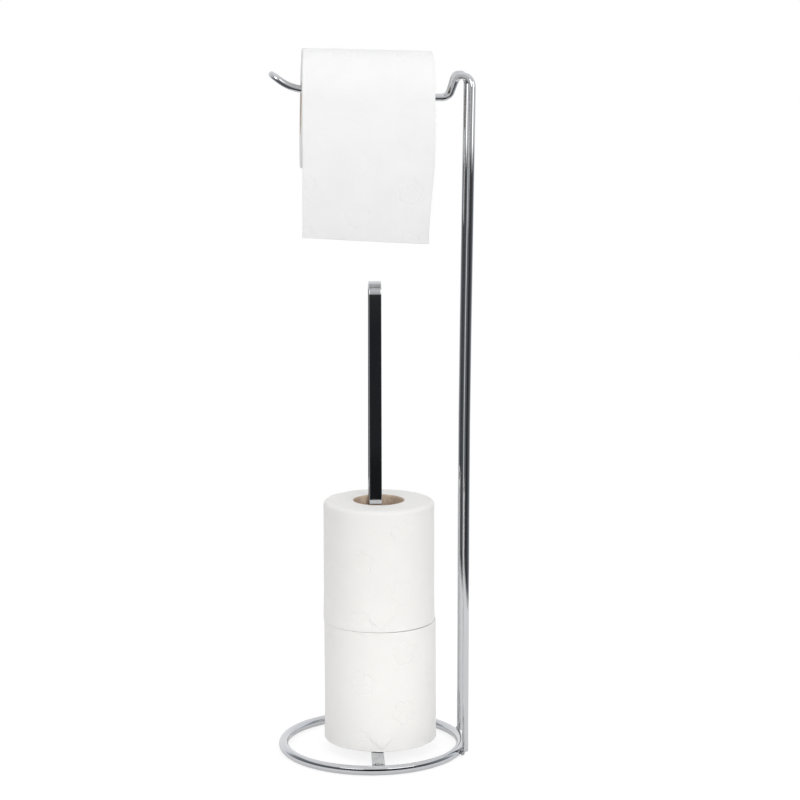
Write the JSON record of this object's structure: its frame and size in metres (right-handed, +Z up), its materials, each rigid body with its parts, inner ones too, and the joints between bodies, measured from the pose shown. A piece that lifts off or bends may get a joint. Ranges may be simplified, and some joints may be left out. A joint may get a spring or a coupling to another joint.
{
  "type": "toilet roll holder",
  "caption": "Free-standing chromed wire stand that holds one toilet roll on a side arm and spare rolls round an upright post on a ring foot.",
  "frame": {"origin": "on the floor at the centre of the base ring", "axes": "+Z up, the arm points to -X, the two uprights stand at +X, the roll's loose end hangs on the -Y side"},
  "size_m": [0.1561, 0.1494, 0.5542],
  "materials": {
    "chrome": "polished",
    "weld": "plated weld bead",
    "kraft_board": "matte",
    "tissue": "soft, faintly embossed"
  },
  "bodies": {
    "holder": {"base_ring": "chrome", "arm_frame": "chrome", "spare_roll_post": "chrome", "upright_weld_front": "weld", "upright_weld_back": "weld", "strap_weld_front": "weld", "strap_weld_back": "weld"},
    "hanging_roll": {"hanging_roll_core": "kraft_board", "hanging_roll_paper": "tissue"},
    "paper_tail": {"hanging_sheet": "tissue"},
    "lower_roll": {"lower_roll_core": "kraft_board", "lower_roll_paper": "tissue"},
    "upper_roll": {"upper_roll_core": "kraft_board", "upper_roll_paper": "tissue"}
  },
  "joints": [
    {"name": "roll_spin", "type": "hinge", "parent": "holder", "child": "hanging_roll", "pos_m": [-0.00397, 0, 0.50738], "axis": [0.9996, 0.0122, -0.0244], "range_deg": [-45, 450]},
    {"name": "tail_pull", "type": "slide", "parent": "holder", "child": "paper_tail", "axis": [0, 0, -1], "range_m": [-0.0359, 0.3585], "deforming": ["hanging_sheet"]},
    {"name": "lower_lift", "type": "slide", "parent": "holder", "child": "lower_roll", "axis": [0, 0, 1], "range_m": [0, 0.09]},
    {"name": "upper_lift", "type": "slide", "parent": "lower_roll", "child": "upper_roll", "axis": [0, 0, 1], "range_m": [0, 0.15]}
  ],
  "couplings": [
    {"joint": "tail_pull", "follows": "roll_spin", "m_per_rad": 0.0456}
  ]
}
